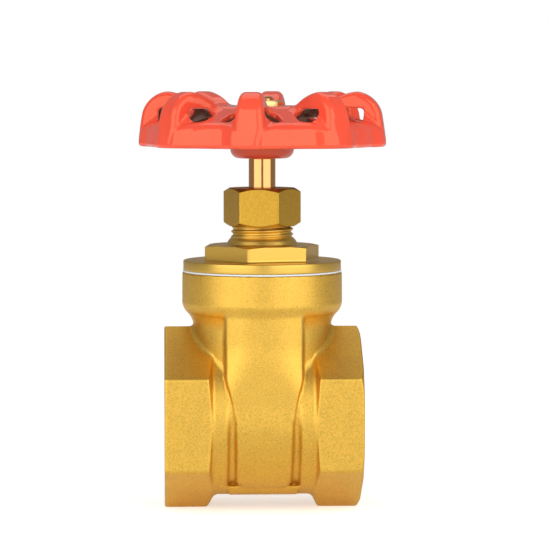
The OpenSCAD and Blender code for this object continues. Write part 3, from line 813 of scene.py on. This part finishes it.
class VALVE_OT_bonnet(bpy.types.Operator):
    """Turn the bonnet with its hexagon and threaded neck, and the gasket under it"""
    bl_idname = "valve.bonnet"
    bl_label = "Bonnet and gasket"

    def execute(self, context):
        disc_r = high("bonnet", 0)
        disc_low = high("bonnet_gasket")
        disc_top = disc_low + 2.5
        hex_top = disc_top + 3.9
        foot, top = low("bonnet"), high("bonnet")
        floor = low("lower_thrust_washer")
        inner_r, spigot_r, hex_r, neck_r, gland_r = 15.25, 17.2, 15.7, 7.9, 7.5
        packing_r, stem_hole_r, boss_r = 5.6, 4.15, 7.6
        piece = turned_piece("bonnet_turning", [
            (inner_r, foot, 0), (16.8, foot, 0.3), (spigot_r, foot + 0.4, 0), (spigot_r, disc_low, 0.1),
            (disc_r, disc_low, 0.25), (disc_r, disc_top, 0.3), (hex_r, disc_top, 0),
            (hex_r, disc_top + 0.05, 0), (hex_r, hex_top - 0.5, 0), (13.6, hex_top, 0), (9.2, hex_top, 0.5),
            (8.6, hex_top + 1.1, 0.5), (neck_r, hex_top + 1.9, 0.4), (neck_r, NUT_LOW - 0.5, 0.1),
            (gland_r, NUT_LOW, 0.1), (gland_r, top, 0.4), (packing_r, top, 0.2), (packing_r, floor, 0),
            (stem_hole_r, floor, 0), (stem_hole_r, disc_top + 1, 0), (boss_r, disc_top + 1, 0),
            (boss_r, disc_top - 1.4, 0), (inner_r, disc_low + 0.2, 0), (inner_r, foot, 0)],
            around=324, spacing=0.8, fine=(hex_top - 0.3, NUT_LOW + 0.5, 0.19),
            sides=(6, 26.4, 45, disc_top + 0.001, hex_top - 0.001),
            thread=(1.3, 0.5, hex_top + 1.6, NUT_LOW + 0.5, 1, 7))
        settle(piece, "valve", "turned_brass", turned_brass, "bonnet")
        gasket_r, hole_r = high("bonnet_gasket", 0), 17.35
        low_h, high_h = low("bonnet_gasket"), high("bonnet_gasket")
        gasket = turned_piece("gasket_ring", [
            (hole_r, low_h, 0), (gasket_r, low_h, 0.12), (gasket_r, high_h, 0.12), (hole_r, high_h, 0),
            (hole_r, low_h, 0)], around=256)
        settle(gasket, "valve", "gasket", gasket_sheet, "bonnet_gasket")
        return {"FINISHED"}


class VALVE_OT_packing_nut(bpy.types.Operator):
    """Shape the packing nut"""
    bl_idname = "valve.packing_nut"
    bl_label = "Packing nut"

    def execute(self, context):
        af, bore_r, chamfer = 17.2, 7.6, math.radians(32)
        face_r, reach = af / 2 - 0.25, af / math.sqrt(3) + 0.5
        drop = (reach - face_r) * math.tan(chamfer)
        roof = NUT_TOP - 1.7
        piece = turned_piece("packing_nut_blank", [
            (bore_r, NUT_LOW, 0.1), (face_r, NUT_LOW, 0), (reach, NUT_LOW + drop, 0),
            (reach, NUT_TOP - drop, 0), (face_r, NUT_TOP, 0), (3.75, NUT_TOP, 0.15), (3.6, roof, 0),
            (bore_r, roof, 0), (bore_r, NUT_LOW, 0)],
            around=288, spacing=0.14, sides=(6, af, 22.7, NUT_LOW - 1, NUT_TOP + 1))
        settle(piece, "valve", "blasted_brass_nut", drawn_brass, "packing_nut")
        return {"FINISHED"}


class VALVE_OT_stem(bpy.types.Operator):
    """Turn the stem with its lifting screw, collar and end thread"""
    bl_idname = "valve.stem"
    bl_label = "Stem"

    def execute(self, context):
        s = context.scene.valve_sizes
        r, screw_r, square_r, end_r = s.stem_r / MM, 4, 2.8, 3
        end, top = low("stem"), high("stem")
        collar_r, collar_t = high("stem", 0), 1.8
        collar = low("upper_thrust_washer") - 0.05
        piece = turned_piece("stem_bar", [
            (0, end, 0), (3.4, end, 0.2), (screw_r, end + 0.6, 0), (screw_r, collar - collar_t, 0),
            (collar_r, collar - collar_t, 0.1), (collar_r, collar, 0.1), (r, collar, 0), (r, WHEEL_LOW, 0),
            (square_r, WHEEL_LOW, 0), (square_r, SEAT_H - 0.4, 0), (end_r, SEAT_H - 0.4, 0),
            (end_r, top - 0.55, 0.1), (2.45, top, 0.1), (0, top, 0)],
            around=96, spacing=0.2, thread=(2.5, 0.9, end + 0.8, collar - 6, -1, 2))
        settle(piece, "spindle", "polished_brass", polished_brass, "stem")
        return {"FINISHED"}


class VALVE_OT_handwheel(bpy.types.Operator):
    """Skin the enamelled handwheel"""
    bl_idname = "valve.handwheel"
    bl_label = "Handwheel"

    def execute(self, context):
        s = context.scene.valve_sizes
        reach = WHEEL_R + 1
        box = ((-reach, -reach, WHEEL_LOW - 1), (reach, reach, WHEEL_TOP + 1))
        field, underside = wheel_field(s)
        points, faces, normals = skin(field, *box, np.full(3, 0.85 * s.cell / MM))
        piece = put_mesh("handwheel_casting", points, faces.tolist(), normals)
        # The inside attribute holds the share of painted shade that darkens the hollow underside and the
        # windows
        inside = piece.data.attributes.new("inside", "FLOAT", "POINT")
        inside.data.foreach_set("value", underside(*points.T).astype(np.float32))
        settle(piece, "spindle", "red_enamel", stove_enamel, "handwheel")
        return {"FINISHED"}


class VALVE_OT_wheel_fastening(bpy.types.Operator):
    """Make the plain washer and the nut on the handwheel"""
    bl_idname = "valve.wheel_fastening"
    bl_label = "Wheel fastening"

    def execute(self, context):
        washer_r, hole_r = high("plain_washer", 0), 3.2
        z0, z1 = low("plain_washer"), high("plain_washer")
        washer = turned_piece("plain_washer_disc", [
            (hole_r, z0, 0), (washer_r, z0, 0.15), (washer_r, z1, 0.25), (hole_r, z1, 0.1), (hole_r, z0, 0)],
            around=96)
        settle(washer, "spindle", "zinc_steel", zinc_steel, "plain_washer")
        z0, z1 = low("wheel_nut"), high("wheel_nut")
        af, face_r, hole_r, chamfer = 10.1, 4.75, 3.05, math.radians(28)
        reach = af / math.sqrt(3) + 0.4
        drop = (reach - face_r) * math.tan(chamfer)
        nut = turned_piece("wheel_nut_blank", [
            (hole_r, z0, 0), (face_r, z0, 0), (reach, z0 + drop, 0), (reach, z1 - drop, 0), (face_r, z1, 0),
            (3.45, z1, 0.05), (hole_r, z1 - 0.4, 0), (hole_r, z0, 0)],
            around=216, spacing=0.12, sides=(6, af, 40.5, z0 - 1, z1 + 1))
        settle(nut, "spindle", "plated_nut", passivated_steel, "wheel_nut")
        return {"FINISHED"}


class VALVE_OT_inner_pieces(bpy.types.Operator):
    """Give the wedge, the packing and the small inner pieces their finishes"""
    bl_idname = "valve.inner_pieces"
    bl_label = "Inner pieces"

    def execute(self, context):
        finishes = {
            "gate_wedge": forged_brass, "gland_follower": turned_brass, "spring_washer": zinc_steel,
            "lower_thrust_washer": moulded_ptfe, "upper_thrust_washer": moulded_ptfe,
            "packing_ring_lower": moulded_ptfe, "packing_ring_middle": moulded_ptfe,
            "packing_ring_upper": moulded_ptfe}
        for node, maker in finishes.items():
            dress(bpy.data.objects[node], maker)
        return {"FINISHED"}


class VALVE_OT_stage(bpy.types.Operator):
    """Lay the floor, hang the lights and set the camera"""
    bl_idname = "valve.stage"
    bl_label = "Stage"

    def execute(self, context):
        scene = context.scene
        scene.view_settings.view_transform = "Standard"
        self.floor(scene.valve_colours)
        self.lights(scene)
        self.camera(scene)
        return {"FINISHED"}

    def floor(self, colours):
        """A level square floor, as one surface on a grid of two parameters."""
        half = 0.7
        side = np.linspace(-half, half, 3)
        x, y = np.meshgrid(side, side, indexing="ij")
        points = np.stack([x, y, np.zeros_like(x)], -1).reshape(-1, 3)
        index = np.arange(9).reshape(3, 3)
        corners = [index[:-1, :-1], index[1:, :-1], index[1:, 1:], index[:-1, 1:]]
        faces = np.stack(corners, -1).reshape(-1, 4)
        mesh = bpy.data.meshes.new("studio_floor")
        mesh.from_pydata(points, [], faces.tolist())
        floor = bpy.data.objects.new("studio_floor", mesh)
        bpy.context.scene.collection.objects.link(floor)
        material, tree, shader = new_material("white_studio_board", 0.9, 0, colours.floor, {
            "Emission Color": (1, 1, 1, 1), "Specular IOR Level": 0.0})
        seen = add(tree, "ShaderNodeLightPath").outputs["Is Camera Ray"]
        level = add(tree, "ShaderNodeMapRange", {"To Min": 0.13, "To Max": 0.5}, {"Value": seen})
        tree.links.new(level.outputs["Result"], shader.inputs["Emission Strength"])
        floor.data.materials.append(material)

    def lights(self, scene):
        """Two tall panels left and right of the camera, with a narrow gap between them, a panel over the back,
        and a dim room that looks white behind the valve."""
        world = bpy.data.worlds.new("room")
        world.use_nodes = True
        tree = world.node_tree
        tree.nodes.clear()
        seen = add(tree, "ShaderNodeLightPath").outputs["Is Camera Ray"]
        level = add(tree, "ShaderNodeMapRange", {"To Min": 0.3, "To Max": 1.0}, {"Value": seen})
        room = add(tree, "ShaderNodeBackground", {"Color": (1, 1, 1, 1)}, {"Strength": level.outputs["Result"]})
        output = add(tree, "ShaderNodeOutputWorld")
        tree.links.new(room.outputs["Background"], output.inputs["Surface"])
        scene.world = world
        panel_h, panel_size, panel_glow = 0.3, (0.97, 1.3), 1.78
        target = Vector((0, 0, panel_h))
        away, half = 0.75, math.radians(42)
        side, ahead = away * math.sin(half), -away * math.cos(half)
        for name, place, width, height, glow in (
                ("left_panel", (-side, ahead, panel_h), *panel_size, panel_glow),
                ("right_panel", (side, ahead, panel_h), *panel_size, panel_glow),
                ("back_panel", (0, 0.6, 1.2), 1.0, 0.9, 0.85)):
            data = bpy.data.lights.new(name, "AREA")
            data.shape = "RECTANGLE"
            data.size, data.size_y = width, height
            data.energy = glow * math.pi * width * height
            lamp = bpy.data.objects.new(name, data)
            lamp.location = place
            lamp.rotation_euler = (Vector(place) - target).to_track_quat("Z", "Y").to_euler()
            scene.collection.objects.link(lamp)

    def camera(self, scene):
        """A long lens, a little left of the valve and level with the handwheel, tilted 4 degrees down."""
        data = bpy.data.cameras.new("camera")
        data.lens, data.sensor_width = 178.8, 36
        data.clip_start, data.clip_end = 0.05, 20
        camera = bpy.data.objects.new("camera", data)
        pan, tilt = math.radians(2.24), math.radians(4.08)
        left, away, above = 23.9, 695.2, 85.9
        camera.location = (-left * MM, -away * MM, (AXIS + above) * MM)
        camera.rotation_euler = (math.pi / 2 - tilt, 0, -pan)
        scene.collection.objects.link(camera)
        scene.camera = camera


class VALVE_PT_panel(bpy.types.Panel):
    """Buttons for every piece, with the sizes and colours"""
    bl_idname = "VALVE_PT_panel"
    bl_label = "Gate valve"
    bl_space_type = "VIEW_3D"
    bl_region_type = "UI"
    bl_category = "Valve"

    def draw(self, context):
        for operator in OPERATORS:
            self.layout.operator(operator.bl_idname)
        for group in (context.scene.valve_sizes, context.scene.valve_colours):
            column = self.layout.column(align=True)
            for key in group.__annotations__:
                column.prop(group, key)


OPERATORS = (VALVE_OT_body, VALVE_OT_bonnet, VALVE_OT_packing_nut, VALVE_OT_stem, VALVE_OT_handwheel,
             VALVE_OT_wheel_fastening, VALVE_OT_inner_pieces, VALVE_OT_stage)
CLASSES = (ValveSizes, ValveColours, *OPERATORS, VALVE_PT_panel)


def register():
    for cls in CLASSES:
        bpy.utils.register_class(cls)
    bpy.types.Scene.valve_sizes = PointerProperty(type=ValveSizes)
    bpy.types.Scene.valve_colours = PointerProperty(type=ValveColours)


def unregister():
    del bpy.types.Scene.valve_colours
    del bpy.types.Scene.valve_sizes
    for cls in reversed(CLASSES):
        bpy.utils.unregister_class(cls)


def main():
    register()
    for operator in OPERATORS:
        family, name = operator.bl_idname.split(".")
        getattr(getattr(bpy.ops, family), name)()


if __name__ == "__main__":
    main()
